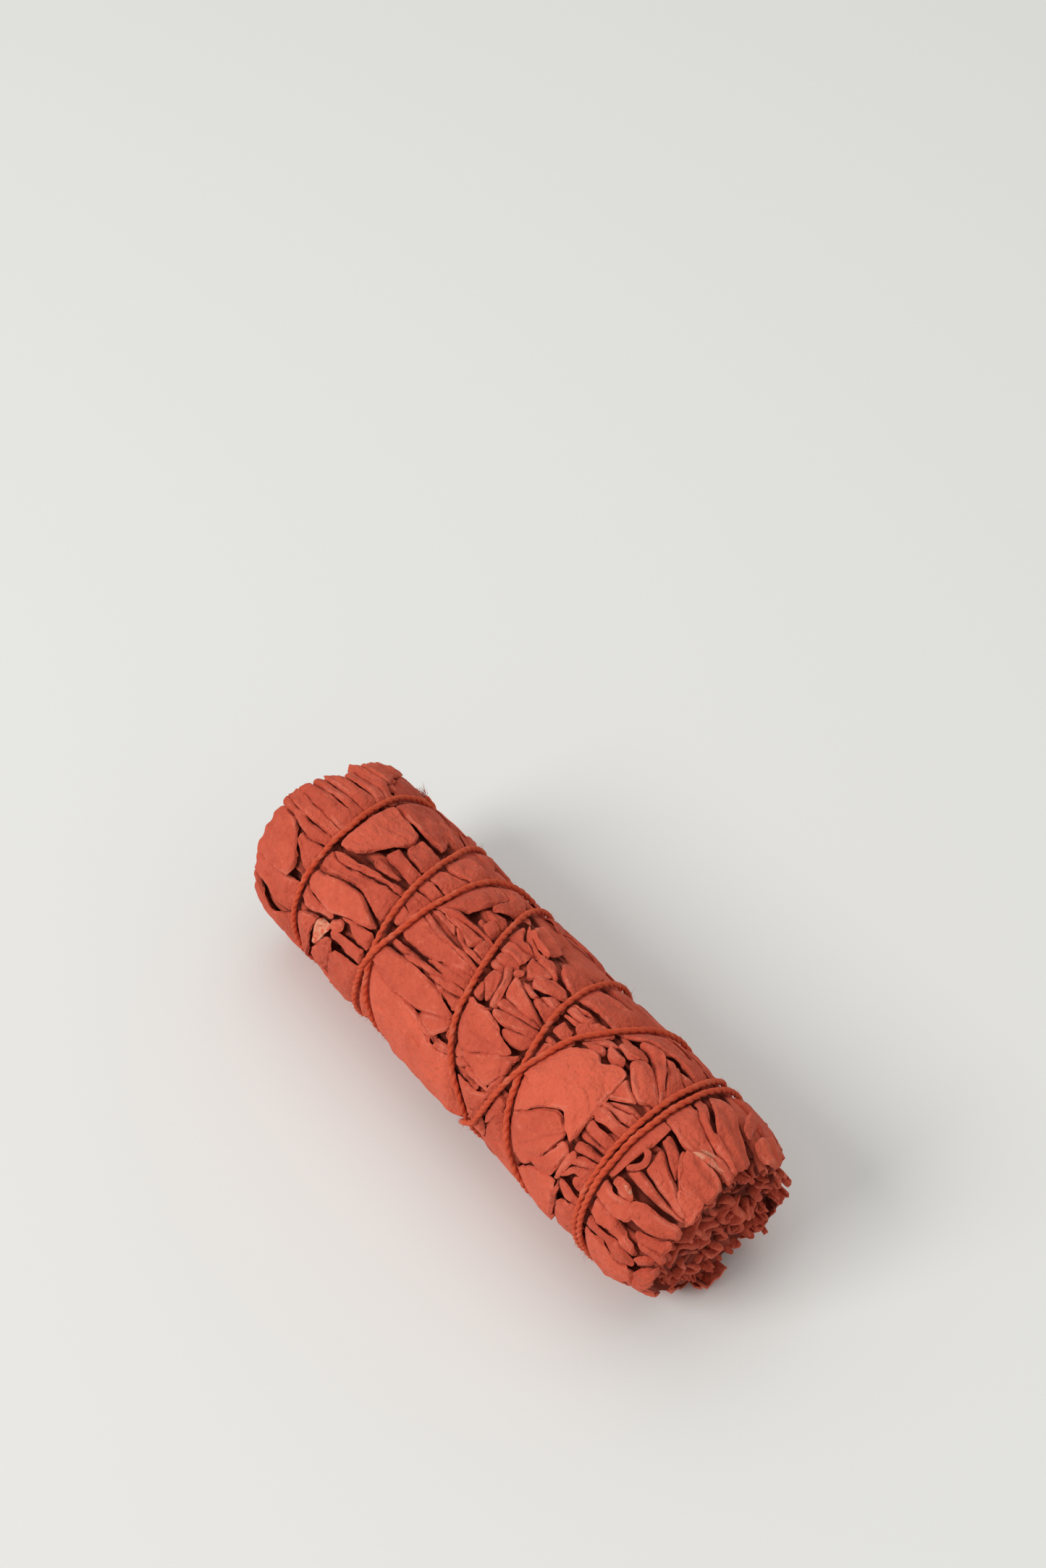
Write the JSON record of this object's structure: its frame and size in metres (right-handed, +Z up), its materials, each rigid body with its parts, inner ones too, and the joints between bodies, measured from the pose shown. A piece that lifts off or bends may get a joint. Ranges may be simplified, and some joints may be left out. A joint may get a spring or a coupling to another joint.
{
  "type": "herbal smudge stick",
  "caption": "Bundle of dried red leafy sprigs, pressed into a rounded stick and tied all along with one knotted red twine.",
  "frame": {"origin": "centre of the bounding box in plan, on the surface that the bundle lies on", "axes": "+X along the bundle from its cut butt end to its leafy tip end, +Z up"},
  "size_m": [0.106, 0.0386, 0.0342],
  "materials": {
    "leaf": "dry matte leaf, dusty red, with a soft nap",
    "stem": "dry bare twig",
    "twine": "dyed cotton twine"
  },
  "bodies": {
    "root": {"sprig_1": "leaf", "sprig_2": "leaf", "sprig_3": "leaf", "sprig_4": "leaf", "sprig_5": "leaf", "sprig_6": "leaf", "sprig_7": "leaf", "sprig_8": "leaf", "sprig_heart": "leaf", "stem_1": "stem", "stem_2": "stem", "stem_3": "stem", "stem_4": "stem", "stem_5": "stem", "twine": "twine"}
  },
  "joints": []
}
